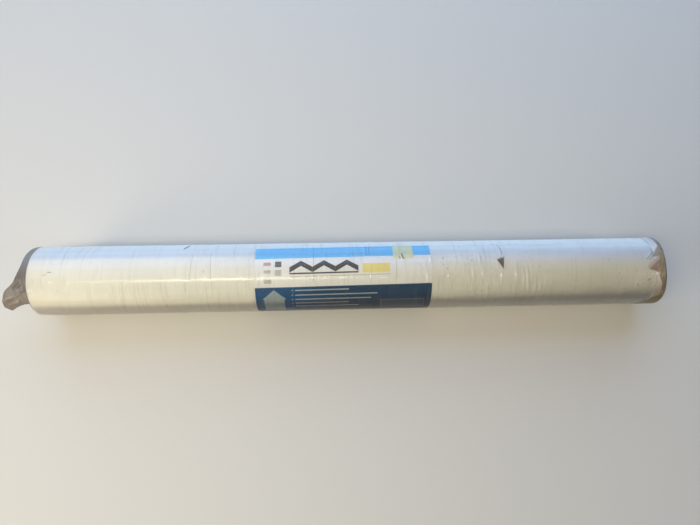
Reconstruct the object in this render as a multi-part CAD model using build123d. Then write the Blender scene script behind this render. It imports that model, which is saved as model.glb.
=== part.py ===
from build123d import *
import math
import os

# A roll of white roofing underlay that lies on its side in a clear film wrap, with a
# printed sheet of paper slipped under the film. Millimetres. The origin is the middle of
# the bore. X runs along the roll to the gathered end of the wrap, Z is up, -Y is the front.

# The wound membrane: one turned solid, whose turns show on its ends.
ROLL_LENGTH = 1500.0
ROLL_RADIUS = 84.0
BORE_RADIUS = 30.0
TURN_BANDS = 9
TURN_WANDER = 1.8
WANDER_WAVES = 2.4
OUTER_EDGE_CHAMFER = 0.8

# The paper sheet round the middle of the roll, measured flat.
LABEL_LENGTH = 420.0
LABEL_HEIGHT = 297.0
LABEL_WALL = 0.2
LABEL_CENTRE = -15.0
LABEL_TOP_ANGLE = 40.0

# The film: a sleeve with one end gathered over the roll's end and the other torn open.
SEAT_GAP = 0.25
FILM_WALL = 0.3
FILM_OVERHANG = 25.0
SHOULDER_RADIUS = 12.0
MOUTH_RADIUS = 42.0
MOUTH_SETBACK = 13.0
HEM_REACH = 3.0

# The tucks that take up the spare film between the shoulder and the mouth.
TUCK_COUNT = 12
TUCK_WIDTH = 8.0
TUCK_HEIGHT = 2.4
TUCK_LEAN = 0.3
TUCK_START_SHARE = 0.25
TUCK_MARGIN = 1.0

# The loose flap at the open end: the angle from the top towards the front, in degrees,
# and how far the film stands out past the roll's end there.
FLAP_OUTLINE = [
    (-72.0, 0.0),
    (-59.0, 8.0),
    (-34.0, 13.5),
    (-6.0, 16.0),
    (7.0, 22.0),
    (19.5, 31.0),
    (30.5, 48.0),
    (42.0, 57.0),
    (56.0, 63.0),
    (68.0, 61.0),
    (72.5, 51.0),
    (56.0, 17.0),
    (55.0, 0.0),
]
FLAP_REACH = max(reach for angle, reach in FLAP_OUTLINE)

# What follows from the sizes above.
LABEL_INNER_RADIUS = ROLL_RADIUS + SEAT_GAP
LABEL_OUTER_RADIUS = LABEL_INNER_RADIUS + LABEL_WALL
FILM_INNER_RADIUS = LABEL_OUTER_RADIUS + SEAT_GAP
FILM_RADIUS = FILM_INNER_RADIUS + FILM_WALL
ROLL_END = ROLL_LENGTH / 2
GATHERED_END = ROLL_END + FILM_OVERHANG
TORN_END = -ROLL_END - FLAP_REACH
CAP_RADIUS = FILM_RADIUS - SHOULDER_RADIUS


def band_shift(share):
    """How far a band of turns has slipped along the roll: share is 0 outside, 1 at the bore."""
    return TURN_WANDER * math.sin(2 * math.pi * WANDER_WAVES * share)


def end_profile(end, inward):
    """Half section of one end from the outside in: each band of turns stands by itself."""
    band_depth = (ROLL_RADIUS - BORE_RADIUS) / TURN_BANDS
    points = [
        (end + inward * OUTER_EDGE_CHAMFER, ROLL_RADIUS),
        (end, ROLL_RADIUS - OUTER_EDGE_CHAMFER),
    ]
    for band in range(TURN_BANDS):
        face = end + band_shift(band / TURN_BANDS)
        if band > 0:
            points.append((face, ROLL_RADIUS - band * band_depth))
        points.append((face, ROLL_RADIUS - (band + 1) * band_depth))
    return points


def membrane_roll():
    """The wound sheet. A turn that stands out at one end stands back at the other."""
    right = end_profile(ROLL_END, -1)
    left = end_profile(-ROLL_END, 1)
    outline = Polyline(*right, *reversed(left), close=True)
    return revolve(make_face(outline), Axis.X, 360)


def label_sheet():
    """The paper: an arc from behind the top, over the front and on under the roll."""
    middle_radius = (LABEL_INNER_RADIUS + LABEL_OUTER_RADIUS) / 2
    span = math.degrees(LABEL_HEIGHT / middle_radius)
    start = 90 - LABEL_TOP_ANGLE
    inner = CenterArc((0, 0), LABEL_INNER_RADIUS, start, span)
    outer = CenterArc((0, 0), LABEL_OUTER_RADIUS, start, span)
    top_edge = Line(inner @ 0, outer @ 0)
    low_edge = Line(inner @ 1, outer @ 1)
    section = make_face([inner, low_edge, outer, top_edge])
    first_side = Plane.YZ.offset(LABEL_CENTRE - LABEL_LENGTH / 2)
    return extrude(first_side * section, LABEL_LENGTH)


def film_path(inset):
    """The film's half section at a depth below its outside: sleeve, shoulder and cap."""
    reach = GATHERED_END - inset
    radius = FILM_RADIUS - inset
    sleeve = Line((TORN_END, radius), (GATHERED_END - SHOULDER_RADIUS, radius))
    shoulder = RadiusArc(sleeve @ 1, (reach, CAP_RADIUS), SHOULDER_RADIUS - inset)
    cap = Line(shoulder @ 1, (reach - MOUTH_SETBACK, MOUTH_RADIUS))
    return [sleeve, shoulder, cap]


def film_skin():
    """The film turned round the roll, before its torn end is cut to shape."""
    outside = film_path(0)
    inside = film_path(FILM_WALL)
    torn_edge = Line(outside[0] @ 0, inside[0] @ 0)
    mouth_edge = Line(outside[-1] @ 1, inside[-1] @ 1)
    section = make_face([*outside, mouth_edge, *inside, torn_edge])
    return revolve(section, Axis.X, 360)


def cap_x(radius):
    """Where the outside of the cap stands along the roll at a radius."""
    return GATHERED_END - MOUTH_SETBACK * (CAP_RADIUS - radius) / (CAP_RADIUS - MOUTH_RADIUS)


def tuck_section(radius, share):
    """A fold of film seen along its length: a low triangle that leans to one side."""
    root = cap_x(radius) - FILM_WALL / 2
    width = TUCK_WIDTH * share
    crest = cap_x(radius) + TUCK_HEIGHT * share
    corners = [
        (root, -width / 2, radius),
        (root, width / 2, radius),
        (crest, width * TUCK_LEAN, radius),
    ]
    return make_face(Polyline(*corners, close=True))


def tucks():
    """Folds that widen towards the mouth, evenly spaced round the cap."""
    wide = tuck_section(MOUTH_RADIUS + TUCK_MARGIN, 1)
    narrow = tuck_section(CAP_RADIUS - TUCK_MARGIN, TUCK_START_SHARE)
    fold = loft([wide, narrow], ruled=True)
    step = 360 / TUCK_COUNT
    return [fold.rotate(Axis.X, number * step) for number in range(TUCK_COUNT)]


def flap_plan():
    """The flap seen from above, as a block that stands on the level of the axis."""
    points = []
    for angle, reach in FLAP_OUTLINE:
        points.append((-ROLL_END - reach, -FILM_RADIUS * math.sin(math.radians(angle))))
    edge = Spline(*points[:-2])
    tear = Polyline(points[-3], points[-2], points[-1])
    root = Line(points[-1], points[0])
    return extrude(make_face([edge, tear, root]), 2 * FILM_RADIUS)


def wrap_film():
    """The whole film: gathered over one end of the roll, open with a loose flap at the other."""
    skin = film_skin()
    for fold in tucks():
        skin = skin + fold
    hem_start = -ROLL_END - HEM_REACH
    kept_length = GATHERED_END + TUCK_HEIGHT - hem_start
    kept = Pos(hem_start + kept_length / 2, 0, 0) * Box(kept_length, 4 * FILM_RADIUS, 4 * FILM_RADIUS)
    return skin & (kept + flap_plan())


PARTS = {
    "membrane_roll": membrane_roll(),
    "label_sheet": label_sheet(),
    "wrap_film": wrap_film(),
}

os.makedirs("parts", exist_ok=True)
for name, solid in PARTS.items():
    export_step(solid, os.path.join("parts", name + ".step"))
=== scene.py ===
import math

import bmesh
import bpy
import numpy as np
from mathutils import Matrix, Vector


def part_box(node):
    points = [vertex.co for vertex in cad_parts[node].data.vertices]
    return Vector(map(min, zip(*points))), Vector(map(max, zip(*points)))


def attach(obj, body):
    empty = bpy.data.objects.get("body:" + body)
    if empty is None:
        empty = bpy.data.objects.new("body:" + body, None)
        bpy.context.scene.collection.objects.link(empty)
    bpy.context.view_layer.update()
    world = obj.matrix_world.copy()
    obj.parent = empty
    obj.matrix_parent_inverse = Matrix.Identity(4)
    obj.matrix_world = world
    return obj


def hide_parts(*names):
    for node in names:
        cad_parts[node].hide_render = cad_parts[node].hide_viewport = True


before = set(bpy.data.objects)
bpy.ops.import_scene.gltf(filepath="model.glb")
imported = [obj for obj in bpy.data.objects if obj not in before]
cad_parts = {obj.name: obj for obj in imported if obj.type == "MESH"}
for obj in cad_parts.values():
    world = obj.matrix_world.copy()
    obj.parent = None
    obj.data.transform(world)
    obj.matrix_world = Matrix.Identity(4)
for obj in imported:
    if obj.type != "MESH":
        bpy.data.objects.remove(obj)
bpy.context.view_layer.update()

# A roll of white roofing underlay in a clear film wrap. Metres, in the frame of the CAD
# model. On a sheet, u runs along the roll and v runs round it from the top to the front.

_, roll_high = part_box("membrane_roll")
label_low, label_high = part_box("label_sheet")
film_low, film_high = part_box("wrap_film")

MM = 0.001
ROLL_END = 0.750
ROLL_RADIUS = roll_high.z
BORE_RADIUS = 0.030
FILM_THICKNESS = 0.3 * MM
FILM_RADIUS = film_high.y - FILM_THICKNESS / 2
FLOOR_Z = film_low.z
WELD_GAP = 0.002 * MM

# The Mix node's sockets for two colours, and its output for the colour between them.
FIRST_COLOUR, SECOND_COLOUR, MIXED_COLOUR = 6, 7, 2


class Value:
    """A number or colour that varies over a surface. Arithmetic on it adds Math nodes."""

    def __init__(self, finish, socket):
        self.finish = finish
        self.socket = socket

    def math(self, operation, *values):
        inputs = dict(enumerate(values))
        return self.finish.node("ShaderNodeMath", {"operation": operation}, inputs)

    def __add__(self, other):
        return self.math("ADD", self, other)

    def __radd__(self, other):
        return self.math("ADD", other, self)

    def __sub__(self, other):
        return self.math("SUBTRACT", self, other)

    def __rsub__(self, other):
        return self.math("SUBTRACT", other, self)

    def __mul__(self, other):
        return self.math("MULTIPLY", self, other)

    def __rmul__(self, other):
        return self.math("MULTIPLY", other, self)

    def __pow__(self, other):
        return self.math("POWER", self, other)

    def __abs__(self):
        return self.math("ABSOLUTE", self)

    def over(self, other):
        """The larger of two values, which joins two masks."""
        return self.math("MAXIMUM", self, other)

    def under(self, other):
        """The smaller of two values, which keeps what two masks share."""
        return self.math("MINIMUM", self, other)

    def rise(self, low, high):
        """0 at low, 1 at high and a soft slope between, in either direction."""
        inputs = {0: self, 1: low, 2: high, 3: 0.0, 4: 1.0}
        return self.finish.node("ShaderNodeMapRange", {"interpolation_type": "SMOOTHSTEP"}, inputs)

    def between(self, low, high, soft):
        """1 between two values, with soft edges."""
        return self.rise(low - soft, low + soft) * (1 - self.rise(high - soft, high + soft))


class Finish:
    """The nodes of a material or of the world."""

    def __init__(self, owner):
        owner.use_nodes = True
        self.owner = owner
        self.tree = owner.node_tree
        self.tree.nodes.clear()

    def node(self, kind, settings=None, inputs=None, output=0):
        """Adds a node: its settings first, then the values or links of its sockets."""
        added = self.tree.nodes.new(kind)
        for key, value in (settings or {}).items():
            setattr(added, key, value)
        for key, value in (inputs or {}).items():
            if isinstance(value, Value):
                self.tree.links.new(value.socket, added.inputs[key])
            else:
                added.inputs[key].default_value = value
        return Value(self, added.outputs[output]) if added.outputs else None

    def mix(self, factor, first, second):
        """A colour between two colours."""
        inputs = {0: factor, FIRST_COLOUR: first, SECOND_COLOUR: second}
        return self.node("ShaderNodeMix", {"data_type": "RGBA"}, inputs, MIXED_COLOUR)

    def place(self, along, round_it, depth=0.0):
        """A vector put together from three numbers."""
        return self.node("ShaderNodeCombineXYZ", None, {0: along, 1: round_it, 2: depth})

    def noise(self, vector, scale, detail=2.0, roughness=0.5):
        """Soft noise from 0 to 1."""
        inputs = {"Vector": vector, "Scale": scale, "Detail": detail, "Roughness": roughness}
        return self.node("ShaderNodeTexNoise", None, inputs)

    def streaks(self, u, v, along, round_it, detail=2.0, roughness=0.6):
        """Noise drawn out one way, with one scale along the roll and one round it."""
        return self.noise(self.place(u * along, v * round_it), 1.0, detail, roughness)

    def coordinates(self, vector, count):
        """The first few numbers of a vector."""
        split = {"Vector": vector}
        return [self.node("ShaderNodeSeparateXYZ", None, split, axis) for axis in range(count)]

    def sheet_place(self):
        """Where a point lies on its sheet: u along the roll and v round it, in metres."""
        vector = self.node("ShaderNodeUVMap", {"uv_map": "sheet"})
        return vector, *self.coordinates(vector, 2)

    def solid_place(self):
        """Where a point lies on the roll, in the frame of the CAD model."""
        vector = self.node("ShaderNodeTexCoord", None, None, "Object")
        return vector, *self.coordinates(vector, 3)

    def bump(self, height, distance, strength=1.0):
        """A normal that follows a height."""
        inputs = {"Height": height, "Distance": distance, "Strength": strength}
        return self.node("ShaderNodeBump", None, inputs)

    def paint(self, colour, marks):
        """Lays marks over a colour and over each other: each is a mask and a colour."""
        for mask, tint in marks:
            colour = self.mix(mask, colour, tint)
        return colour

    def dots(self, vector, places, radius):
        """Round specks in four sizes at some places of a sheet."""
        specks = []
        for number, (u, v) in enumerate(places):
            ends = {0: vector, 1: (u, v, 0)}
            away = self.node("ShaderNodeVectorMath", {"operation": "DISTANCE"}, ends, "Value")
            size = radius * (0.7 + 0.2 * (number % 4))
            specks.append(away.rise(size, size * 0.3))
        return any_of(specks)

    def principled(self, inputs):
        """The shader of a plain surface."""
        return self.node("ShaderNodeBsdfPrincipled", None, inputs)

    def surface(self, shader):
        """Ends the nodes of a material and gives the material back."""
        self.node("ShaderNodeOutputMaterial", None, {"Surface": shader})
        return self.owner


def any_of(masks):
    """One mask that is wherever any of the masks is."""
    joined = masks[0]
    for mask in masks[1:]:
        joined = joined.over(mask)
    return joined


def all_of(masks):
    """One mask that is only where all of the masks are."""
    shared = masks[0]
    for mask in masks[1:]:
        shared = shared.under(mask)
    return shared


def new_finish(name):
    """A new material, with no nodes yet."""
    return Finish(bpy.data.materials.new(name))


def grey(level):
    return (level, level, level, 1)


def grid_faces(columns, rows):
    """Quads of a grid whose points are stored column by column, facing outward."""
    start = (np.arange(columns - 1)[:, None] * rows + np.arange(rows - 1)[None, :]).ravel()
    return np.stack([start, start + 1, start + rows + 1, start + rows], axis=1)


def on_roll(along, radius, phi):
    """Points at an angle phi from the top towards the front, in radians."""
    along, radius, phi = np.broadcast_arrays(along, radius, phi)
    return np.stack([along, -radius * np.sin(phi), radius * np.cos(phi)], axis=-1).reshape(-1, 3)


def one_mesh(meshes):
    """Several meshes as one: each is its points and its faces."""
    points, faces, count = [], [], 0
    for mesh_points, mesh_faces in meshes:
        points.append(mesh_points)
        faces.append(mesh_faces + count)
        count += len(mesh_points)
    return np.concatenate(points), np.concatenate(faces)


def add_piece(name, points, faces, material, uvs=None, sharp=None, weld=False):
    """A mesh piece that rides on the part's one body."""
    mesh = bpy.data.meshes.new(name)
    mesh.from_pydata(np.asarray(points).tolist(), [], np.asarray(faces).tolist())
    if uvs is not None:
        layer = mesh.uv_layers.new(name="sheet")
        corners = np.empty(len(mesh.loops), dtype=np.int32)
        mesh.loops.foreach_get("vertex_index", corners)
        layer.data.foreach_set("uv", np.asarray(uvs)[corners].astype(np.float32).ravel())
    if weld:
        work = bmesh.new()
        work.from_mesh(mesh)
        bmesh.ops.remove_doubles(work, verts=work.verts, dist=WELD_GAP)
        bmesh.ops.recalc_face_normals(work, faces=work.faces)
        work.to_mesh(mesh)
        work.free()
    mesh.shade_smooth()
    if sharp is not None:
        mesh.set_sharp_from_angle(angle=math.radians(sharp))
    mesh.materials.append(material)
    piece = bpy.data.objects.new(name, mesh)
    bpy.context.scene.collection.objects.link(piece)
    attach(piece, "root")
    return piece


def folds_height(u, v, folds):
    """Height of thin folds: each is (u, v, half length, half width, height, lean, bow)."""
    height = np.zeros_like(u)
    for at_u, at_v, reach, width, tall, lean, bow in folds:
        along = (v - at_v) / reach
        across = (u - at_u - lean * (v - at_v) - bow * along * along) / width
        near = (np.abs(along) < 1) & (np.abs(across) < 3)
        height[near] += tall * np.exp(-across[near] ** 2) * (1 - along[near] ** 2) ** 2
    return height


def crease_height(u, v, start, stop, half_width, height):
    """Height of a straight crease between two places on a sheet."""
    run_u, run_v = stop[0] - start[0], stop[1] - start[1]
    share = ((u - start[0]) * run_u + (v - start[1]) * run_v) / (run_u**2 + run_v**2)
    share = np.clip(share, 0, 1)
    gap = np.hypot(u - start[0] - share * run_u, v - start[1] - share * run_v)
    return height * np.exp(-((gap / half_width) ** 2))


def smooth_noise(draw, length, step):
    """A smooth random curve with values from -1 to 1, one knot each step."""
    knots = draw.uniform(-1, 1, int(length / step) + 3)

    def curve(where):
        at = np.clip(np.asarray(where) / step, 0, len(knots) - 1.001)
        low = at.astype(int)
        share = at - low
        share = share * share * (3 - 2 * share)
        return knots[low] * (1 - share) + knots[low + 1] * share

    return curve


def smooth_table(where, knots, values):
    """A smooth curve through a table of values."""
    slope = np.gradient(values, knots)
    at = np.clip(np.searchsorted(knots, where) - 1, 0, len(knots) - 2)
    step = knots[at + 1] - knots[at]
    share = np.clip((where - knots[at]) / step, 0, 1)
    blend = share * share * (3 - 2 * share)
    lean = slope[at] * (1 - share) - slope[at + 1] * share
    return values[at] * (1 - blend) + values[at + 1] * blend + step * share * (1 - share) * lean


# The wound sheet. Its crest is the raised part of a turn's edge, as shares of its width.

TURNS = 72
STEPS_ROUND = 120
LAP_ANGLE = math.radians(-150)
TURN_PITCH = (ROLL_RADIUS - BORE_RADIUS) / (TURNS - 1)
TURN_WANDER = 1.8 * MM
WANDER_WAVES = 2.4
TURN_SLIP = 0.4 * MM
SLIP_KNOTS = 0.7
GROOVE_DEPTH = 0.55 * MM
CREST_FROM, CREST_TO = 0.14, 0.80
OUTSIDE_COLUMNS, BORE_COLUMNS = 61, 9
OUTSIDE_DENTS = 0.10 * MM
SHARP_EDGE = 35
FIBRE_SCALE, TURN_SCALE, PRESSED_DOT_SCALE = 900.0, 900.0, 520.0
FIBRE_RELIEF = 0.08 * MM

CLOTH_SHADE = (0.87, 0.855, 0.79, 1)
CLOTH_WHITE = (0.91, 0.90, 0.84, 1)
FIBRE_SHADE = (0.82, 0.80, 0.73, 1)
# The darker colour of the rings on the ends, where their relief is low: painted shade.
TURN_GROOVE_SHADE = (0.50, 0.47, 0.41, 1)
EDGE_WHITE = (0.80, 0.78, 0.72, 1)
END_DUST = (0.36, 0.31, 0.24, 1)


def turn_edge(turn):
    """Radius of the line where a turn begins, counted in turns from the outside."""
    return np.maximum(ROLL_RADIUS - TURN_PITCH * turn, BORE_RADIUS)


def turn_slip(radius, turn, slips):
    """How far the sheet's edge has slipped along the roll at a turn."""
    share = (ROLL_RADIUS - radius) / (ROLL_RADIUS - BORE_RADIUS)
    return TURN_WANDER * np.sin(2 * math.pi * WANDER_WAVES * share) + TURN_SLIP * slips(turn)


def wound_end(side, slips):
    """The wound edge at one end, as a strip that winds in, and where its outermost and
    innermost turns lie along the roll."""
    turn = np.arange((TURNS - 1) * STEPS_ROUND + 1) / STEPS_ROUND
    phi = LAP_ANGLE + 2 * math.pi * turn
    outer, inner = turn_edge(turn), turn_edge(turn + 1)
    crest = side * ROLL_END + turn_slip(outer, turn, slips)
    foot = crest - side * GROOVE_DEPTH
    next_foot = side * ROLL_END + turn_slip(inner, turn + 1, slips) - side * GROOVE_DEPTH
    width = outer - inner
    rows = [
        on_roll(foot, outer, phi),
        on_roll(crest, outer - CREST_FROM * width, phi),
        on_roll(crest, outer - CREST_TO * width, phi),
        on_roll(next_foot, inner, phi),
    ]
    points = np.stack(rows, axis=1).reshape(-1, 3)
    end = points, grid_faces(len(turn), len(rows))
    return end, foot[: STEPS_ROUND + 1], next_foot[-STEPS_ROUND - 1 :]


def end_to_end(left, right, columns):
    """Places along the roll in columns, from a line at one end to a line at the other."""
    share = np.linspace(0, 1, columns)[:, None]
    return left * (1 - share) + right * share


def outside_wall(draw, left, right):
    """The outermost turn, with small dents and the step where the sheet's end laps it."""
    turn = np.arange(STEPS_ROUND + 1) / STEPS_ROUND
    along = end_to_end(left, right, OUTSIDE_COLUMNS)
    dents = OUTSIDE_DENTS * draw.uniform(-1, 0, along.shape)
    dents[0] = dents[-1] = 0
    points = on_roll(along, turn_edge(turn) + dents, LAP_ANGLE + 2 * math.pi * turn)
    first = np.arange(OUTSIDE_COLUMNS) * (STEPS_ROUND + 1)
    last = first + STEPS_ROUND
    lap = np.stack([last[:-1], first[:-1], first[1:], last[1:]], axis=1)
    return points, np.concatenate([grid_faces(OUTSIDE_COLUMNS, STEPS_ROUND + 1), lap])


def bore_wall(left, right):
    """The innermost turn, which faces the bore."""
    turn = TURNS - 2 + np.arange(STEPS_ROUND + 1) / STEPS_ROUND
    along = end_to_end(left, right, BORE_COLUMNS)
    points = on_roll(along, turn_edge(turn + 1), LAP_ANGLE + 2 * math.pi * turn)
    return points, grid_faces(BORE_COLUMNS, STEPS_ROUND + 1)[:, ::-1]


def make_wound_membrane(material):
    """The wound sheet: both ends, the outside and the bore, welded into one skin."""
    draw = np.random.RandomState(41)
    slips = smooth_noise(draw, TURNS + 2, SLIP_KNOTS)
    left_end, left_outside, left_bore = wound_end(-1, slips)
    right_end, right_outside, right_bore = wound_end(1, slips)
    outside = outside_wall(draw, left_outside, right_outside)
    bore = bore_wall(left_bore, right_bore)
    points, faces = one_mesh([left_end, right_end, outside, bore])
    piece = add_piece("wound_membrane", points, faces, material, sharp=SHARP_EDGE, weld=True)
    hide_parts("membrane_roll")
    return piece


def membrane_finish():
    """White nonwoven: matted fibres, small pressed dots, and dusty edges on the ends, whose rings
    are darker where their relief is low: painted shade in the grooves between the turns.
    """
    finish = new_finish("membrane_nonwoven")
    vector, x, y, z = finish.solid_place()
    radius = (y * y + z * z) ** 0.5
    near_end = abs(x).rise(ROLL_END - 6 * MM, ROLL_END - 4 * MM)
    on_end = radius.rise(ROLL_RADIUS, ROLL_RADIUS - 1.2 * MM).under(near_end)
    fibres = finish.noise(vector, FIBRE_SCALE, 3.0, 0.7)
    clouds = finish.noise(vector, 9.0, 3.0, 0.6)
    round_it = finish.place(radius * TURN_SCALE, y * 6.0, z * 6.0)
    turns = finish.noise(round_it, 1.0, 2.0, 0.6)
    dots = {"Vector": vector, "Scale": PRESSED_DOT_SCALE}
    pressed = finish.node("ShaderNodeTexVoronoi", None, dots)
    cloth = finish.mix(clouds.rise(0.3, 0.7), CLOTH_SHADE, CLOTH_WHITE)
    cloth = finish.mix(fibres.rise(0.3, 0.7) * 0.35, cloth, FIBRE_SHADE)
    # The rings on the ends are darker where the turns' relief is low: painted shade in the grooves.
    edges = finish.mix(turns.rise(0.35, 0.65), TURN_GROOVE_SHADE, EDGE_WHITE)
    dust = finish.noise(vector, 40.0, 3.0, 0.6).rise(0.55, 0.75) * 0.5
    height = fibres * 0.6 + pressed.rise(0.0, 0.4) * 0.8 + turns * on_end * 4.0
    inputs = {
        "Base Color": finish.mix(on_end, cloth, finish.mix(dust, edges, END_DUST)),
        "Roughness": 0.62 + fibres * 0.2,
        "Normal": finish.bump(height, FIBRE_RELIEF, 0.5),
        "Sheen Weight": 0.15,
    }
    return finish.surface(finish.principled(inputs))


# The printed paper. The places of its print are in millimetres from its top left corner.

LABEL_LEFT = label_low.x
LABEL_WIDTH = label_high.x - label_low.x
LABEL_HEIGHT = 0.297
LABEL_GAP = 0.25 * MM
PAPER_THICKNESS = 0.2 * MM
LABEL_RADIUS = ROLL_RADIUS + LABEL_GAP + PAPER_THICKNESS / 2
LABEL_TOP_PHI = math.radians(-40)
LABEL_SKEW = -0.0125
LABEL_COLUMNS, LABEL_ROWS = 141, 81
LABEL_LIFT = 0.07 * MM
LIFT_KNOTS = 0.031

PRINT_EDGE = 0.4
SKY_TOP, SKY_LOW = 0.8, 35
DARK_TOP = 105.8
GABLE_MIDDLES = (109.2, 163.5, 217.8)
GABLE_TOP, GABLE_HALF_WIDTH, GABLE_FALL, GABLE_THICKNESS = 42.5, 27.2, 16, 13
RULE_LENGTHS = (128, 196, 181, 128, 152)
RULE_LEFT, RULE_TOP, RULE_SPACING, RULE_THICKNESS = 94, 113, 12.8, 3
BULLET_LEFT, BULLET_RIGHT = 86, 88.4
HOUSE_MIDDLE, ROOF_TOP, ROOF_FALL = 44, 112, 0.9

PAPER_WHITE = (0.94, 0.935, 0.915, 1)
PAPER_SHADE = (0.80, 0.78, 0.72, 1)
SKY_BLUE = (0.245, 0.67, 0.90, 1)
RULE_BLUE = (0.50, 0.74, 0.95, 1)
DARK_BLUE_LEFT = (0.0, 0.105, 0.29, 1)
DARK_BLUE_RIGHT = (0.0, 0.055, 0.145, 1)
ROOF_BLACK = (0.05, 0.048, 0.05, 1)
TAG_YELLOW = (0.94, 0.84, 0.38, 1)
PATCH_YELLOW = (0.90, 0.85, 0.52, 1)
FINE_GREY = (0.22, 0.20, 0.19, 1)
PRINT_RED = (0.45, 0.18, 0.15, 1)
RULE_GREY = (0.66, 0.73, 0.76, 1)
HOUSE_GREY = (0.50, 0.60, 0.62, 1)


def make_printed_sheet(material):
    """The paper, laid round the roll a little out of square and not quite flat on it."""
    draw = np.random.RandomState(7)
    u = np.linspace(0, LABEL_WIDTH, LABEL_COLUMNS)[:, None] * np.ones((1, LABEL_ROWS))
    v = np.linspace(0, LABEL_HEIGHT, LABEL_ROWS)[None, :] * np.ones((LABEL_COLUMNS, 1))
    lift = smooth_noise(draw, 1.0, LIFT_KNOTS)
    radius = LABEL_RADIUS + LABEL_LIFT * lift(u + 0.3 * v)
    phi = LABEL_TOP_PHI + (v + LABEL_SKEW * (u - LABEL_WIDTH / 2)) / LABEL_RADIUS
    points = on_roll(LABEL_LEFT + u, radius, phi)
    faces = grid_faces(LABEL_COLUMNS, LABEL_ROWS)
    uvs = np.stack([u.ravel(), v.ravel()], axis=1)
    piece = add_piece("printed_sheet", points, faces, material, uvs)
    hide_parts("label_sheet")
    return piece


def block(u, v, left, top, right, low, soft=PRINT_EDGE):
    """A printed rectangle."""
    wide = u.between(left * MM, right * MM, soft * MM)
    return wide * v.between(top * MM, low * MM, soft * MM)


def gable(u, v, middle):
    """A printed chevron like a pitched roof seen from its end."""
    slope = abs(u - middle * MM) * (GABLE_FALL / GABLE_HALF_WIDTH) + GABLE_TOP * MM
    stripe = (v - slope).between(0.0, GABLE_THICKNESS * MM, PRINT_EDGE * MM)
    left, right = (middle - GABLE_HALF_WIDTH) * MM, (middle + GABLE_HALF_WIDTH) * MM
    return stripe * u.between(left, right, PRINT_EDGE * MM)


def pale_band_print(u, v):
    """Masks and colours of the upper bands: roofs, a tag, small blocks, a rule and a patch."""
    sky = v.between(SKY_TOP * MM, SKY_LOW * MM, PRINT_EDGE * MM)
    gables = [gable(u, v, middle) for middle in GABLE_MIDDLES]
    roofs = any_of([block(u, v, 82, 72, 245, 75.5), *gables])
    fine = any_of(
        [
            block(u, v, 84, 80.2, 322, 82.0),
            block(u, v, 22, 64, 38, 72),
            block(u, v, 48, 64, 63, 78),
            block(u, v, 22, 86, 40, 96),
        ]
    )
    return [
        (sky, SKY_BLUE),
        (block(u, v, 82, 17, 269, 22) * 0.35, RULE_BLUE),
        (roofs * 0.93, ROOF_BLACK),
        (block(u, v, 255, 53.5, 320, 76), TAG_YELLOW),
        (fine * 0.4, FINE_GREY),
        (block(u, v, 48, 43, 63, 57) * 0.85, grey(0.06)),
        (block(u, v, 21, 45, 38, 53) * 0.6, PRINT_RED),
        (block(u, v, 330, -1, 378, 44, 1.2) * 0.93, PATCH_YELLOW),
    ]


def dark_band_print(finish, u, v):
    """Masks and colours of the dark band: rules with bullets, a house and a framed panel."""
    dark = v.rise((DARK_TOP - PRINT_EDGE) * MM, (DARK_TOP + PRINT_EDGE) * MM)
    dark_blue = finish.mix(u.rise(210 * MM, 70 * MM), DARK_BLUE_RIGHT, DARK_BLUE_LEFT)
    rules = []
    for number, length in enumerate(RULE_LENGTHS):
        top = RULE_TOP + RULE_SPACING * number
        low = top + RULE_THICKNESS
        rules.append(block(u, v, RULE_LEFT, top, RULE_LEFT + length, low))
        rules.append(block(u, v, BULLET_LEFT, top, BULLET_RIGHT, low))
    under_roof = v - abs(u - HOUSE_MIDDLE * MM) * ROOF_FALL
    roof = under_roof.rise((ROOF_TOP - PRINT_EDGE) * MM, (ROOF_TOP + PRINT_EDGE) * MM)
    house = (roof * block(u, v, 16, 111, 72, 138)).over(block(u, v, 20, 137, 68, 186))
    panel = block(u, v, 298, 147, 405, 180)
    panel_frame = panel * (1 - block(u, v, 300, 149, 403, 178))
    return [
        (dark, dark_blue),
        (any_of(rules) * 0.75, RULE_GREY),
        (house * 0.8, HOUSE_GREY),
        ((panel * 0.10).over(panel_frame * 0.3), RULE_GREY),
    ]


def print_finish():
    """Smooth printed paper in bands, with plain roof shapes and rules and no lettering."""
    finish = new_finish("printed_paper")
    vector, u, v = finish.sheet_place()
    mottle = finish.noise(vector, 260.0, 3.0, 0.6)
    clouds = finish.noise(vector, 14.0, 2.0, 0.5)
    paper = finish.mix(clouds * 0.2, PAPER_WHITE, PAPER_SHADE)
    printed = finish.paint(paper, pale_band_print(u, v) + dark_band_print(finish, u, v))
    inputs = {
        "Base Color": finish.mix(mottle.rise(0.35, 0.75) * 0.07, printed, grey(0.55)),
        "Roughness": 0.42 + mottle * 0.15,
        "Normal": finish.bump(mottle, 0.03 * MM, 0.4),
        "Specular IOR Level": 0.12,
    }
    return finish.surface(finish.principled(inputs))


# The film wrap. Angles round the roll are in degrees, from the top towards the front.

SHOULDER_RADIUS = 12 * MM
CAP_RADIUS = FILM_RADIUS - SHOULDER_RADIUS
MOUTH_RADIUS = 42 * MM
MOUTH_SETBACK = 13 * MM
GATHERED_END = ROLL_END + 25 * MM
SLEEVE_END = GATHERED_END - SHOULDER_RADIUS
HEM = 1.5 * MM
ARC_LENGTH = SHOULDER_RADIUS * math.pi / 2
CAP_LENGTH = math.hypot(CAP_RADIUS - MOUTH_RADIUS, MOUTH_SETBACK)
PATH_END = SLEEVE_END + ARC_LENGTH + CAP_LENGTH
PINCH = 6 * MM
PINCH_SHIFT = 2 * MM
PINCH_ANGLE = math.radians(10)
PLEATS_ALONG = 2.4 * MM
PLEATS_OUTWARD = 0.9 * MM
PLEATS_ROUND, FINE_PLEATS_ROUND = 14, 23
FINE_PLEAT_SHARE = 0.45
PLEAT_DRIFT = 5.0
PLEAT_KNOTS = 24.0
LAP_LIFT = 0.12 * MM
LAP_SLOPE = 2.0
PRESSED_COSINE, PRESSED_FADE = -0.97, 0.12
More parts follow.
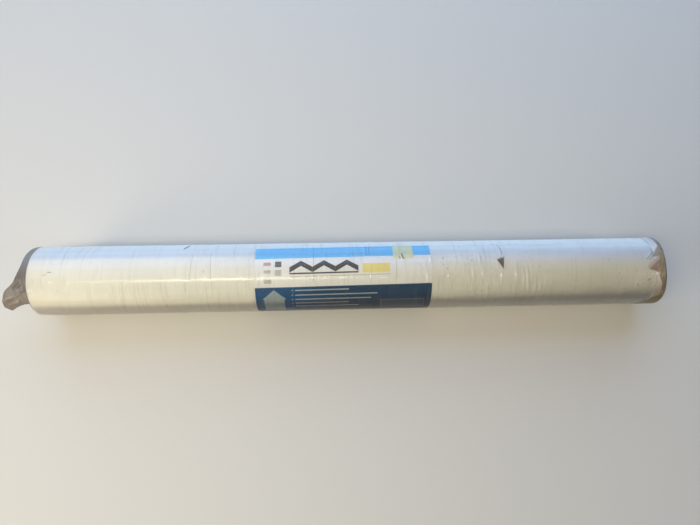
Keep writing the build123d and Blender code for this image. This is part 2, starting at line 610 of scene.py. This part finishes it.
SLEEVE_COLUMNS, SHOULDER_COLUMNS, CAP_COLUMNS = 1060, 15, 17
FILM_LAP = 8.0
FILM_EDGE = 160.0

# The rows of the film round the roll, in degrees: they are close where the flap grows.
FILM_TURN = np.concatenate(
    [
        np.linspace(FILM_EDGE - 360 - FILM_LAP, -90, 16)[:-1],
        np.linspace(-90, -20, 16)[:-1],
        np.linspace(-20, 40, 24)[:-1],
        np.linspace(40, 56, 13)[:-1],
        np.linspace(56, 110, 13)[:-1],
        np.linspace(110, FILM_EDGE, 7),
    ]
)

# The flap: where its rows start round the roll and where their tips lie, in degrees, and
# how far they reach past the hem, in millimetres.
FLAP_TABLE = np.array(
    [
        (-72.0, -72.0, 0.0),
        (-59.0, -59.0, 8.0),
        (-34.0, -34.0, 13.5),
        (-6.0, -6.0, 16.0),
        (7.0, 7.0, 22.0),
        (18.0, 19.5, 31.0),
        (26.0, 30.5, 48.0),
        (33.0, 42.0, 57.0),
        (41.0, 56.0, 63.0),
        (49.0, 68.0, 61.0),
        (55.0, 73.0, 50.0),
    ]
)
FLAP_REACH = float(FLAP_TABLE[:, 2].max()) * MM
FLAP_STEPS = 32
FLAP_CURL = 1.9
FLAP_DROOP = 4 * MM
FLAP_RIPPLE = 0.2 * MM
RAGGED_SHARE = 0.02
RAGGED_KNOTS = 4.0

# Creases of the flap: the places where each starts and stops, its half width and its
# height, the last two in millimetres. A hollow has a height below zero.
FLAP_CREASES = [
    ((-0.7543, 0.0445), (-0.8060, 0.0730), 3.0, 2.0),
    ((-0.7630, 0.0120), (-0.7535, 0.0360), 2.4, 1.4),
    ((-0.7640, 0.0300), (-0.7760, 0.0380), 4.0, -2.0),
    ((-0.7730, 0.0750), (-0.8030, 0.0900), 4.0, 1.5),
]

# Folds of the film that run round the roll: u, v and half length in metres, half width and
# height in millimetres, lean in metres of u for each metre of v, and bow in millimetres.
DRAWN_FOLDS = [
    (0.225, 0.021, 0.014, 1.5, 0.75, 0.05, 0.0),
    (0.235, 0.030, 0.018, 1.7, 0.90, 0.10, 0.0),
    (0.239, 0.042, 0.026, 1.5, 0.55, 0.06, 0.0),
    (0.283, 0.041, 0.028, 1.5, 0.60, 0.07, 0.0),
    (0.292, 0.021, 0.018, 1.5, 0.85, 0.00, 0.0),
    (0.299, 0.026, 0.018, 1.4, 0.60, 0.03, 0.0),
    (0.327, 0.045, 0.026, 1.5, 0.55, 0.05, 0.0),
    (0.362, 0.028, 0.027, 1.9, 1.20, -0.02, 0.0),
    (0.3655, 0.041, 0.022, 1.5, -0.60, -0.08, 0.0),
    (0.388, 0.027, 0.014, 1.5, 0.75, 0.35, 0.0),
    (0.397, 0.030, 0.019, 1.6, 0.85, 0.09, 0.0),
    (0.395, 0.065, 0.034, 1.5, 0.55, 0.22, 0.0),
    (0.416, 0.041, 0.027, 1.7, 0.95, -0.02, 0.0),
    (0.424, 0.020, 0.010, 1.5, 0.85, -0.18, 0.0),
    (0.517, 0.055, 0.027, 1.7, 0.50, 0.19, 0.0),
    (0.512, 0.071, 0.024, 1.6, 0.45, 0.14, 0.0),
    (0.398, -0.041, 0.016, 1.6, 0.60, -0.12, 0.0),
    (0.408, -0.038, 0.014, 1.6, 0.50, -0.12, 0.0),
    (0.731, -0.015, 0.012, 1.7, 0.90, -1.03, 0.0),
    (0.7365, -0.011, 0.011, 1.6, 0.80, -1.12, 0.0),
    (0.7355, 0.002, 0.016, 3.0, 1.10, -1.23, 0.0),
    (0.110, 0.010, 0.030, 1.6, 0.65, -0.06, 0.0),
    (0.127, -0.008, 0.020, 1.5, 0.60, 0.05, 0.0),
    (0.050, 0.010, 0.060, 1.6, 0.55, 0.01, 2.0),
    (0.040, -0.045, 0.018, 1.5, -0.60, -0.03, 0.0),
    (0.047, -0.045, 0.018, 1.5, -0.60, -0.02, 0.0),
    (-0.087, -0.012, 0.052, 1.6, 0.55, 0.01, 0.0),
    (-0.327, 0.000, 0.048, 1.7, -0.60, 0.05, 0.0),
    (-0.374, 0.012, 0.052, 1.7, -0.60, -0.01, 0.0),
    (-0.343, 0.012, 0.010, 1.8, 0.80, 0.41, 0.0),
    (-0.419, 0.034, 0.016, 1.5, -0.55, -0.02, 0.0),
    (-0.227, 0.025, 0.020, 1.5, 0.50, 0.01, 0.0),
]

# Specks of dirt on the film: their size, and their places on the sheet.
SPECK_RADIUS = 2.0 * MM
SPECKS = [
    (0.5448, -0.0032), (0.6917, 0.0239), (0.6555, 0.0417), (0.6965, 0.0580), (0.6255, -0.0041),
    (0.3338, 0.0605), (0.4540, 0.0099), (0.2236, -0.0161), (0.2304, -0.0120), (0.2220, 0.0010),
    (0.2323, 0.0107), (0.2916, -0.0087), (0.4196, 0.0721), (-0.4317, -0.0129), (-0.3437, 0.0083),
    (-0.4365, 0.0947), (-0.6049, -0.0175), (0.2688, -0.0503), (0.6480, 0.0290), (-0.6800, 0.0480),
]

# The random folds: how many, the stretches of the roll that hold more of them, and the
# ranges of their places and sizes, with widths, heights and bows in millimetres.
RANDOM_FOLDS = 360
WHOLE_SLEEVE = (-0.73, 0.74)
CREASED_RIGHT = (0.16, 0.47)
CREASED_LEFT = (-0.56, -0.22)
FOLD_ROUND = (-0.20, 0.20)
FOLD_FRONT, FOLD_SPREAD = 0.020, 0.030
FOLD_REACH = (0.012, 0.050)
FOLD_WIDTH = (1.4, 2.3)
FOLD_HEIGHT = (0.12, 0.70)
FOLD_LEAN = 0.07
FOLD_BOW = 2.5

# Marks on the film, as places on the sheet: start, stop, half width in millimetres and
# strength.
# Dark lines along the creases of the gathered shoulder: painted shade.
SHOULDER_CREASE_SHADE = [
    ((0.7217, -0.0058), (0.7405, -0.0240), 1.0, 1.0),
    ((0.7278, -0.0034), (0.7449, -0.0187), 0.9, 0.85),
    ((0.7235, 0.0192), (0.7490, -0.0008), 0.6, 0.8),
]
# Dark lines along the flap's crease and along its inner edge by the roll: painted shade and painted
# shadow.
FLAP_SHADE_LINES = [
    ((-0.7525, 0.0440), (-0.7835, 0.0590), 1.0, 1.0),
    ((-0.7630, 0.0120), (-0.7525, 0.0330), 0.9, 1.0),
]
PULLED_FILM = [
    ((0.3484, -0.0612), (0.3616, -0.0583), 0.7, 0.6),
    ((0.3616, -0.0583), (0.3662, -0.0473), 0.8, 0.8),
    ((0.3662, -0.0473), (0.3684, -0.0236), 0.9, 1.0),
]
# Dark lines along some of the film's folds: painted shade.
FOLD_SHADE_LINES = [
    ((0.0404, -0.0603), (0.0395, -0.0296), 0.7, 1.0),
    ((0.0476, -0.0601), (0.0468, -0.0294), 0.7, 0.8),
    ((-0.0870, -0.0612), (-0.0862, 0.0372), 0.6, 0.7),
    ((0.1119, -0.0137), (0.1091, 0.0346), 0.6, 0.6),
    ((-0.3294, -0.0416), (-0.3253, 0.0423), 0.6, 0.6),
    ((-0.3723, -0.0357), (-0.3755, 0.0270), 0.6, 0.6),
]
NICKS = [
    ((-0.3975, -0.0620), (-0.3880, -0.0790), 1.6, 1.0),
    ((0.1257, -0.0310), (0.1280, -0.0175), 1.4, 1.0),
    ((0.1187, -0.0223), (0.1207, -0.0170), 1.2, 0.8),
]
# Small dents drawn only as dark marks: painted shade.
DENT_SHADES = [
    ((-0.7025, 0.0042), (-0.6945, 0.0036), 0.9, 1.0),
    ((-0.7125, 0.0104), (-0.7060, 0.0094), 0.8, 0.8),
    ((0.7205, 0.0480), (0.7255, 0.0430), 1.1, 1.0),
]

# Flat patches of the film, as the places of their corners in order.
TAN_FOLD = [(0.7600, -0.0440), (0.7330, -0.0110), (0.7530, -0.0100)]
PINK_FOLD = [(0.7228, 0.0197), (0.7505, -0.0015), (0.7480, 0.0290)]
PALE_FOLD = [
    (0.7190, 0.0158), (0.7238, 0.0050), (0.7527, -0.0130), (0.7504, -0.0007), (0.7230, 0.0195),
]
BELOW_CREASE = [(-0.750, 0.046), (-0.850, 0.080), (-0.850, 0.130), (-0.750, 0.130)]
# The dark patch in the flap's folded hollow is painted shade.
FLAP_FOLD_SHADE = [(-0.7640, 0.0105), (-0.7750, 0.0400), (-0.7530, 0.0435), (-0.7520, 0.0320)]
TORN_KITE = [(0.3536, -0.0098), (0.3712, -0.0163), (0.3671, 0.0145)]
TURNED_CORNER = [(0.3536, -0.0098), (0.3672, -0.0225), (0.3712, -0.0163)]

# How the film shines, and the colours of its haze, its stains and its folds, with some painted
# shade among them.
FILM_IOR = 1.42
FILM_GLOSS_ROUGHNESS = 0.11
FILM_HAZE = (0.86, 0.86, 0.84, 1)
# A darker tint along the film's fine lines: painted shade.
FINE_LINE_SHADE = (0.50, 0.47, 0.40, 1)
MILKY_WHITE = (0.70, 0.70, 0.71, 1)
# Darker colours of the milky film towards the bottom: painted shade.
MILKY_SHADE_TAN = (0.70, 0.61, 0.50, 1)
MILKY_SHADE_BROWN = (0.36, 0.31, 0.25, 1)
STRIP_TOP = (0.27, 0.24, 0.20, 1)
STRIP_TAN = (0.34, 0.25, 0.17, 1)
STRIP_FRONT = (0.30, 0.22, 0.115, 1)
STRIP_BROWN = (0.22, 0.155, 0.075, 1)
STRIP_OLIVE = (0.11, 0.075, 0.022, 1)
STREAK_BROWN = (0.12, 0.085, 0.04, 1)
PATCH_TAN = (0.42, 0.34, 0.23, 1)
GATHER_SHADE = (0.19, 0.155, 0.11, 1)
GATHER_PALE = (0.56, 0.50, 0.41, 1)
PINK_SHADE = (0.25, 0.165, 0.11, 1)
PINK_PALE = (0.36, 0.25, 0.18, 1)
TORN_SHADE = (0.068, 0.050, 0.027, 1)
TORN_PALE = (0.17, 0.125, 0.07, 1)


def film_folds():
    """The thin folds that run round the roll: those listed, then random ones."""
    draw = np.random.RandomState(2631)
    folds = []
    for at_u, at_v, reach, width, height, lean, bow in DRAWN_FOLDS:
        folds.append((at_u, at_v, reach, width * MM, height * MM, lean, bow * MM))
    for number in range(RANDOM_FOLDS):
        at_u = draw.uniform(*WHOLE_SLEEVE)
        if number % 3 == 0:
            at_u = draw.uniform(*CREASED_RIGHT)
        elif number % 3 == 1 and number % 2:
            at_u = draw.uniform(*CREASED_LEFT)
        at_v = draw.uniform(*FOLD_ROUND)
        if number % 4:
            at_v = draw.normal(FOLD_FRONT, FOLD_SPREAD)
        reach = draw.uniform(*FOLD_REACH)
        width = draw.uniform(*FOLD_WIDTH) * MM
        height = draw.uniform(*FOLD_HEIGHT) * MM
        lean = draw.normal(0, FOLD_LEAN)
        bow = draw.normal(0, FOLD_BOW) * MM
        folds.append((at_u, at_v, reach, width, height, lean, bow))
    return folds


def cap_pleats(draw, u, bend):
    """Uneven gathers that grow from the shoulder to the mouth, as waves round the roll."""
    wave = smooth_noise(draw, 500, PLEAT_KNOTS)
    turn = FILM_TURN[None, :] + 210
    drift = PLEAT_DRIFT * wave(turn)
    fine_pleats = np.sin(np.radians((turn - drift) * FINE_PLEATS_ROUND + 40))
    pleats = np.sin(np.radians((turn + drift) * PLEATS_ROUND)) + FINE_PLEAT_SHARE * fine_pleats
    gather = np.clip((u - SLEEVE_END) / (PATH_END - SLEEVE_END), 0, 1)
    turned_in = (bend / (math.pi / 2)) ** 3
    return pleats * gather * turned_in


def sleeve_and_cap(draw):
    """The film from its hem to its mouth, as a grid with its place on the flat sheet."""
    sleeve = np.linspace(-ROLL_END - HEM, SLEEVE_END, SLEEVE_COLUMNS)
    turned = SLEEVE_END + ARC_LENGTH * np.linspace(0, 1, SHOULDER_COLUMNS)[1:]
    capped = SLEEVE_END + ARC_LENGTH + CAP_LENGTH * np.linspace(0, 1, CAP_COLUMNS)[1:]
    path = np.concatenate([sleeve, turned, capped])
    u = path[:, None] * np.ones((1, len(FILM_TURN)))
    phi = np.radians(FILM_TURN)[None, :] * np.ones((len(path), 1))
    v = phi * FILM_RADIUS
    bend = np.clip((path - SLEEVE_END) / SHOULDER_RADIUS, 0, math.pi / 2)[:, None]
    cap = np.clip((path - SLEEVE_END - ARC_LENGTH) / CAP_LENGTH, 0, 1)[:, None]
    along = np.minimum(u, SLEEVE_END) + SHOULDER_RADIUS * np.sin(bend) - cap * MOUTH_SETBACK
    radius = FILM_RADIUS - SHOULDER_RADIUS * (1 - np.cos(bend)) - cap * (CAP_RADIUS - MOUTH_RADIUS)

    # Past the roll the film is pinched: it stands out less at the front than behind and below.
    past_roll = np.clip((u - ROLL_END + 5 * MM) / (SLEEVE_END - ROLL_END + 5 * MM), 0, 1)
    along = along + past_roll * (PINCH_SHIFT - PINCH * np.cos(2 * (phi - PINCH_ANGLE)))

    # The film lies nearly flat on the roll, with thin folds, and is pressed flat underneath.
    free = np.clip((np.cos(phi) - PRESSED_COSINE) / PRESSED_FADE, 0, 1)
    on_sleeve = 1 - np.clip((u - SLEEVE_END) / (8 * MM), 0, 1)
    radius = radius + folds_height(u, v, film_folds()) * free * on_sleeve

    pleats = cap_pleats(draw, u, bend) * free
    along = along + PLEATS_ALONG * pleats
    radius = radius + PLEATS_OUTWARD * pleats * (1 - 0.4 * cap)
    lap = np.clip((FILM_TURN - (FILM_EDGE - FILM_LAP)) / LAP_SLOPE, 0, 1)[None, :]
    radius = radius + LAP_LIFT * lap
    uvs = np.stack([u.ravel(), v.ravel()], axis=1)
    return on_roll(along, radius, phi), uvs, len(path)


def loose_flap(draw, in_flap):
    """The flap that grows out of the sleeve's first column at the torn end."""
    root = FILM_TURN[in_flap]
    tip = smooth_table(root, FLAP_TABLE[:, 0], FLAP_TABLE[:, 1])
    reach = smooth_table(root, FLAP_TABLE[:, 0], FLAP_TABLE[:, 2]) * MM
    ragged = smooth_noise(draw, 200, RAGGED_KNOTS)
    reach = reach * (1 + RAGGED_SHARE * ragged(root + 90))
    out = np.linspace(1, 0, FLAP_STEPS + 1)[:-1, None]
    phi = np.radians(root[None, :] + (tip - root)[None, :] * out**FLAP_CURL)
    along = -ROLL_END - HEM - reach[None, :] * out
    v = phi * FILM_RADIUS
    far = np.clip(reach[None, :] * out / FLAP_REACH, 0, 1)
    relief = FLAP_RIPPLE * np.sin(np.degrees(phi) / 5.0 + 30 * far)
    for start, stop, half_width, height in FLAP_CREASES:
        relief = relief + crease_height(along, v, start, stop, half_width * MM, height * MM)
    radius = FILM_RADIUS + relief * np.clip(far * 6, 0, 1) - FLAP_DROOP * far**2
    uvs = np.stack([along.ravel(), v.ravel()], axis=1)
    return on_roll(along, radius, phi), uvs


def make_film_wrap(material):
    """The film: its sleeve, its gathered cap and its flap, joined along the hem."""
    draw = np.random.RandomState(90)
    points, uvs, columns = sleeve_and_cap(draw)
    in_flap = np.flatnonzero((FILM_TURN > FLAP_TABLE[0, 0]) & (FILM_TURN < FLAP_TABLE[-1, 0]))
    flap_points, flap_uvs = loose_flap(draw, in_flap)
    wide = len(in_flap)
    last = len(points) + (FLAP_STEPS - 1) * wide + np.arange(wide)
    seam = np.stack([last[:-1], last[1:], in_flap[1:], in_flap[:-1]], axis=1)
    sleeve = points, grid_faces(columns, len(FILM_TURN))
    flap = flap_points, grid_faces(FLAP_STEPS, wide)
    points, faces = one_mesh([sleeve, flap])
    faces, uvs = np.concatenate([faces, seam]), np.concatenate([uvs, flap_uvs])
    piece = add_piece("film_wrap", points, faces, material, uvs)
    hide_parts("wrap_film")
    length = PATH_END + ROLL_END + HEM + FLAP_REACH
    return piece


def stroke(u, v, start, stop, half_width):
    """A thin straight mark on a sheet between two places, in metres."""
    run = stop[0] - start[0], stop[1] - start[1]
    square = run[0] ** 2 + run[1] ** 2
    share = (u - start[0]) * (run[0] / square) + (v - start[1]) * (run[1] / square)
    share = share.over(0.0).under(1.0)
    across = u - start[0] - share * run[0]
    down = v - start[1] - share * run[1]
    return ((across * across + down * down) ** 0.5).rise(half_width * 1.6, half_width * 0.4)


def strokes(u, v, marks):
    """Several strokes: each is (start, stop, half width in millimetres, strength)."""
    masks = []
    for start, stop, half_width, strength in marks:
        masks.append(stroke(u, v, start, stop, half_width * MM) * strength)
    return any_of(masks)


def facet(u, v, corners, soft):
    """1 inside a flat outline on a sheet, given its corners in order, in metres."""
    sides = list(zip(corners, corners[1:] + corners[:1]))
    turn = sum(first[0] * last[1] - last[0] * first[1] for first, last in sides)
    inside = []
    for first, last in sides:
        run = math.copysign(math.dist(first, last), turn)
        run_u, run_v = (last[0] - first[0]) / run, (last[1] - first[1]) / run
        depth = (v - first[1]) * run_u - (u - first[0]) * run_v
        inside.append(depth.rise(-soft, soft))
    return all_of(inside)


def strip_colour(finish, u, v, patches, cap):
    """The tan strip past the roll's end, olive further down, with the gathers of the cap."""
    tan = finish.mix(v.rise(-0.045, -0.020), STRIP_TOP, STRIP_TAN)
    tan = finish.mix(v.rise(-0.010, 0.008), tan, STRIP_FRONT)
    tan = finish.mix(v.rise(0.030, 0.060), tan, STRIP_BROWN)
    tan = finish.mix(v.rise(0.075, 0.105), tan, STRIP_OLIVE)
    streaky = finish.streaks(u, v, 330.0, 45.0)
    tan = finish.mix(streaky.rise(0.42, 0.62) * 0.75, tan, STREAK_BROWN)
    tan = finish.mix(patches.rise(0.52, 0.72) * 0.6, tan, PATCH_TAN)
    gathers = finish.streaks(u, v, 20.0, 230.0)
    gathered = finish.mix(gathers.rise(0.40, 0.60), GATHER_SHADE, GATHER_PALE)
    return finish.mix(cap * 0.88, tan, gathered)


def gathered_marks(finish, u, v, ragged, patches):
    """Past the roll's right end: milky film with painted shade towards the bottom, a tan and olive
    strip, a brown rim, a painted highlight along the film's edge near the top, and folds with
    painted shade along their creases.
    """
    milky = (u + ragged * 1.5 * MM).rise(ROLL_END - 15 * MM, ROLL_END - 3 * MM)
    # The milky film darkens towards the bottom: painted shade.
    white = finish.mix(v.rise(-0.030, 0.040), MILKY_WHITE, MILKY_SHADE_TAN)
    white = finish.mix(v.rise(0.040, 0.085), white, MILKY_SHADE_BROWN)
    low_step = v.rise(0.034, 0.058) * 9.5 * MM
    top_step = v.rise(-0.016, -0.044) * 10 * MM
    start = ROLL_END - 1.0 * MM + low_step + top_step
    strip = (u + ragged * 1.2 * MM - start).rise(-1.5 * MM, 1.5 * MM)
    cap = u.rise(SLEEVE_END + 11 * MM, SLEEVE_END + 22 * MM)
    tan = strip_colour(finish, u, v, patches, cap)
    rim = u.rise(0.765, 0.770) * v.between(0.012, 0.110, 0.010)
    # A pale line along the film's edge near the top: painted highlight.
    rim_highlight = u.rise(0.7690, 0.7715) * v.between(-0.030, 0.024, 0.006)
    corner = (v + (u - 0.7426) * 1.4 + ragged * 2 * MM).rise(0.099, 0.113)
    corner = corner * v.rise(0.086, 0.098) * v.rise(0.190, 0.160) * u.rise(0.700, 0.722) * (1 - cap)
    pink = finish.mix(patches.rise(0.3, 0.7), PINK_SHADE, PINK_PALE)
    return [
        (milky, 0.74, white),
        (strip * (1 - cap * 0.3), 0.84, tan),
        (rim_highlight, 0.80, (0.38, 0.32, 0.25, 1)),
        (rim * 0.85, 0.88, (0.13, 0.085, 0.035, 1)),
        (corner * 0.95, 0.88, (0.145, 0.105, 0.022, 1)),
        (facet(u, v, TAN_FOLD, 1.5 * MM) * 0.85, 0.72, (0.31, 0.235, 0.155, 1)),
        (facet(u, v, PALE_FOLD, 0.8 * MM), 0.74, (0.52, 0.41, 0.32, 1)),
        (facet(u, v, PINK_FOLD, 1.2 * MM), 0.84, pink),
        # Dark lines along the shoulder's creases: painted shade.
        (strokes(u, v, SHOULDER_CREASE_SHADE), 0.55, (0.16, 0.13, 0.10, 1)),
    ]


def flap_marks(u, v, patches):
    """The dusty flap: browner below its crease, with a dark tip and tear, painted shade in its fold
    and along its crease, and painted shadow along the hem and its inner edge.
    """
    past_hem = u.rise(-ROLL_END + 0.5 * MM, -ROLL_END - 0.5 * MM)
    thin = past_hem * v.rise(-0.030, 0.004)
    below = facet(u, v, BELOW_CREASE, 1.0 * MM)
    streaks = patches.rise(0.50, 0.66) * below
    tip = u.rise(-0.762, -0.798).under(past_hem) * (1 - below * 0.8)
    # A dark line along the roll's end under the flap: painted shadow.
    hem_shadow = stroke(u, v, (-0.7515, 0.0140), (-0.7515, 0.0900), 1.0 * MM)
    tear = stroke(u, v, (-0.7520, 0.0818), (-0.7690, 0.0855), 1.3 * MM)
    return [
        (past_hem, 0.90, (0.120, 0.120, 0.116, 1)),
        (thin, 0.94, (0.098, 0.078, 0.066, 1)),
        (below.under(past_hem), 0.94, (0.140, 0.112, 0.088, 1)),
        (streaks.under(past_hem) * 0.7, 0.94, (0.180, 0.150, 0.118, 1)),
        (tip * 0.80, 0.94, (0.055, 0.043, 0.033, 1)),
        (facet(u, v, FLAP_FOLD_SHADE, 1.0 * MM), 0.94, (0.078, 0.060, 0.046, 1)),
        # Painted shade along the crease and painted shadow along the inner edge.
        (strokes(u, v, FLAP_SHADE_LINES) * 0.9, 0.95, (0.055, 0.042, 0.03, 1)),
        (hem_shadow * 0.8, 0.9, (0.07, 0.052, 0.035, 1)),
        (tear, 0.95, (0.03, 0.02, 0.012, 1)),
    ]


def tear_marks(finish, vector, u, v, ragged, patches):
    """The torn kite, the nicks, the lines of pulled film, painted shade along some folds and in
    small dents, and the specks.
    """
    tint = u.rise(-0.711, -0.714) * u.rise(-ROLL_END - 1 * MM, -ROLL_END)
    halo = stroke(u, v, (0.362, -0.012), (0.370, 0.010), 9 * MM)
    torn = finish.mix(patches.rise(0.3, 0.7), TORN_SHADE, TORN_PALE)
    return [
        (tint * 0.5, 0.05, (0.86, 0.66, 0.55, 1)),
        (halo * (0.5 + ragged * 0.3), 0.16, (0.55, 0.36, 0.24, 1)),
        (facet(u, v, TURNED_CORNER, 0.7 * MM), 0.45, (0.55, 0.50, 0.42, 1)),
        (facet(u, v, TORN_KITE, 0.7 * MM), 0.86, torn),
        (strokes(u, v, PULLED_FILM), 0.55, (0.20, 0.16, 0.13, 1)),
        (strokes(u, v, FOLD_SHADE_LINES), 0.42, (0.12, 0.12, 0.11, 1)),
        (strokes(u, v, NICKS), 0.85, (0.07, 0.05, 0.03, 1)),
        (strokes(u, v, DENT_SHADES), 0.55, (0.20, 0.18, 0.15, 1)),
        (finish.dots(vector, SPECKS, SPECK_RADIUS), 0.50, (0.16, 0.13, 0.10, 1)),
    ]


def film_finish():
    """Clear glossy film with fine lines round the roll, stains, specks and a dusty flap, with
    painted shade along its lines and folds, a painted shadow by the flap and a painted highlight at
    the right end.
    """
    finish = new_finish("clear_film")
    vector, u, v = finish.sheet_place()
    ragged = (finish.noise(vector, 150.0, 3.0, 0.6) - 0.5) * 1.6
    patches = finish.noise(vector, 70.0, 2.0, 0.6)
    lines = finish.streaks(u, v, 170.0, 7.0, 3.0)
    soft = finish.streaks(u, v, 55.0, 9.0, 2.0, 0.5)
    normal = finish.bump(lines + soft * 0.8, 1.0 * MM, 0.8)
    gloss = finish.principled(
        {
            "Base Color": grey(0.93),
            "Metallic": 1.0,
            "Roughness": FILM_GLOSS_ROUGHNESS,
            "Normal": normal,
        }
    )
    clear = finish.node("ShaderNodeBsdfTransparent", None, {"Color": grey(0.985)})
    shine = finish.node("ShaderNodeFresnel", None, {"IOR": FILM_IOR})
    skin = finish.node("ShaderNodeMixShader", None, {0: shine, 1: clear, 2: gloss})

    # A darker tint where the fine lines of the bump run: painted shade.
    painted_line_shade = lines.rise(0.50, 0.72).over(soft.rise(0.55, 0.75) * 0.6)
    marks = [(painted_line_shade, 0.11, FINE_LINE_SHADE)]
    marks += gathered_marks(finish, u, v, ragged, patches)
    marks += flap_marks(u, v, patches)
    marks += tear_marks(finish, vector, u, v, ragged, patches)
    haze = 0.004 + soft * 0.014
    amount = any_of([haze] + [mask * cover for mask, cover, _ in marks])
    colour = finish.paint(FILM_HAZE, [(mask, tint) for mask, _, tint in marks])
    dirt = finish.principled({"Base Color": colour, "Roughness": 0.38, "Normal": normal})
    return finish.surface(finish.node("ShaderNodeMixShader", None, {0: amount, 1: skin, 2: dirt}))


# The room: a pale floor, soft lights and the camera.

WORLD_COLOUR = (0.95, 0.96, 1.0, 1)
WORLD_LIGHT = 0.08
WORLD_SHOWN = 0.50
FLOOR_HALF = 6.5
FLOOR_COLOUR = (0.60, 0.575, 0.53, 1)

# Each light: its name, its place, what it faces, its two sizes, how bright and what colour.
LIGHTS = [
    ("ceiling_panel", (-1.8, -0.2, 2.6), (-0.5, 0, 0), (3.8, 3.0), 0.80, (1.0, 0.81, 0.53)),
    ("near_panel", (-0.75, -0.15, 1.35), (-0.62, 0, 0), (1.1, 0.7), 1.25, (0.52, 0.66, 0.95)),
    ("back_door", (0.0, 3.3, 1.35), (0.0, 0, 0), (6.4, 2.6), 2.36, (0.52, 0.735, 1.0)),
    ("back_roof", (-0.1, 1.9, 2.7), (0.0, 0, 0), (6.0, 1.2), 2.0, (0.35, 0.52, 1.0)),
    ("left_window", (-3.2, -2.0, 1.5), (-0.6, 0, 0), (1.4, 1.2), 6.6, (1.0, 0.95, 0.82)),
    ("left_doorway", (-2.4, -2.2, 0.9), (-0.6, 0, 0), (2.6, 1.4), 2.1, (1.0, 0.79, 0.50)),
    ("ceiling_strip", (-0.84, -0.88, 2.3), (-0.84, 0, 0), (1.25, 0.46), 3.6, (1.0, 0.96, 0.68)),
]

# Small lamps: where each stands along the roll, and how bright the far ones are.
CEILING_LAMPS = (-1.35, -0.98, -0.61, -0.24)
CEILING_LAMP_ROW = (-0.87, 2.3)
CEILING_LAMP_SIZE = (0.16, 0.24)
CEILING_LAMP_BRIGHTNESS = 31.0
CEILING_LAMP_COLOUR = (1.0, 0.95, 0.70)
FAR_LAMPS = ((-3.0, 140.0), (2.9, 120.0))
FAR_LAMP_ROW = (-1.05, 2.0)
FAR_LAMP_SIZE = (0.16, 0.16)
FAR_LAMP_COLOUR = (1.0, 0.98, 0.90)

SENSOR_WIDTH = 36.0
FOCAL_LENGTH = 27.04
CAMERA_PLACE = (-0.0459, -0.3656, 1.2746)
CAMERA_TILT, CAMERA_TURN, CAMERA_ROLL = 17.442, -2.1237, -0.957


def add_floor():
    """A pale floor under the roll, wide enough to fill the picture."""
    mesh = bpy.data.meshes.new("floor")
    corners = [(-1, -1), (1, -1), (1, 1), (-1, 1)]
    points = [(x * FLOOR_HALF, y * FLOOR_HALF, FLOOR_Z) for x, y in corners]
    mesh.from_pydata(points, [], [(0, 1, 2, 3)])
    finish = new_finish("pale_floor")
    shader = finish.principled({"Base Color": FLOOR_COLOUR, "Roughness": 0.8})
    mesh.materials.append(finish.surface(shader))
    floor = bpy.data.objects.new("floor", mesh)
    bpy.context.scene.collection.objects.link(floor)


def add_light(name, at, aim, size, brightness, colour):
    """A soft panel: brightness is what it would show to the camera, whatever its size."""
    data = bpy.data.lights.new(name, "AREA")
    data.shape = "RECTANGLE"
    data.size, data.size_y = size
    data.energy = math.pi * size[0] * size[1] * brightness
    data.color = colour
    light = bpy.data.objects.new(name, data)
    light.location = at
    light.rotation_euler = (Vector(aim) - Vector(at)).to_track_quat("-Z", "Y").to_euler()
    bpy.context.scene.collection.objects.link(light)


def add_world():
    """A dim room that looks pale to the camera, in reflections and through the film."""
    room = Finish(bpy.data.worlds.new("room"))
    seen = room.node("ShaderNodeLightPath", None, None, "Is Camera Ray")
    seen = seen + room.node("ShaderNodeLightPath", None, None, "Is Glossy Ray")
    seen = seen + room.node("ShaderNodeLightPath", None, None, "Is Transmission Ray")
    level = WORLD_LIGHT + seen.under(1.0) * (WORLD_SHOWN - WORLD_LIGHT)
    inputs = {"Color": WORLD_COLOUR, "Strength": level}
    shader = room.node("ShaderNodeBackground", None, inputs)
    room.node("ShaderNodeOutputWorld", None, {"Surface": shader})
    bpy.context.scene.world = room.owner


def add_room():
    """The floor, the panels, the lamps and what shows all round."""
    add_floor()
    for light in LIGHTS:
        add_light(*light)
    for x in CEILING_LAMPS:
        lamp = (x, *CEILING_LAMP_ROW), (x, 0, 0), CEILING_LAMP_SIZE, CEILING_LAMP_BRIGHTNESS
        add_light("ceiling_lamp", *lamp, CEILING_LAMP_COLOUR)
    for x, brightness in FAR_LAMPS:
        lamp = (x, *FAR_LAMP_ROW), (0, 0, 0), FAR_LAMP_SIZE, brightness
        add_light("far_lamp", *lamp, FAR_LAMP_COLOUR)
    add_world()


def add_camera():
    """The camera that took the photo, as found from the roll's outline in it."""
    data = bpy.data.cameras.new("camera")
    data.sensor_width = SENSOR_WIDTH
    data.lens = FOCAL_LENGTH
    camera = bpy.data.objects.new("camera", data)
    tilt = Matrix.Rotation(math.radians(CAMERA_TILT), 4, "X")
    turn = Matrix.Rotation(math.radians(CAMERA_TURN), 4, "Y")
    roll = Matrix.Rotation(math.radians(CAMERA_ROLL), 4, "Z")
    camera.matrix_world = Matrix.Translation(CAMERA_PLACE) @ tilt @ turn @ roll
    bpy.context.scene.collection.objects.link(camera)
    bpy.context.scene.camera = camera


bpy.context.scene.view_settings.view_transform = "Standard"
make_wound_membrane(membrane_finish())
make_printed_sheet(print_finish())
make_film_wrap(film_finish())
add_room()
add_camera()
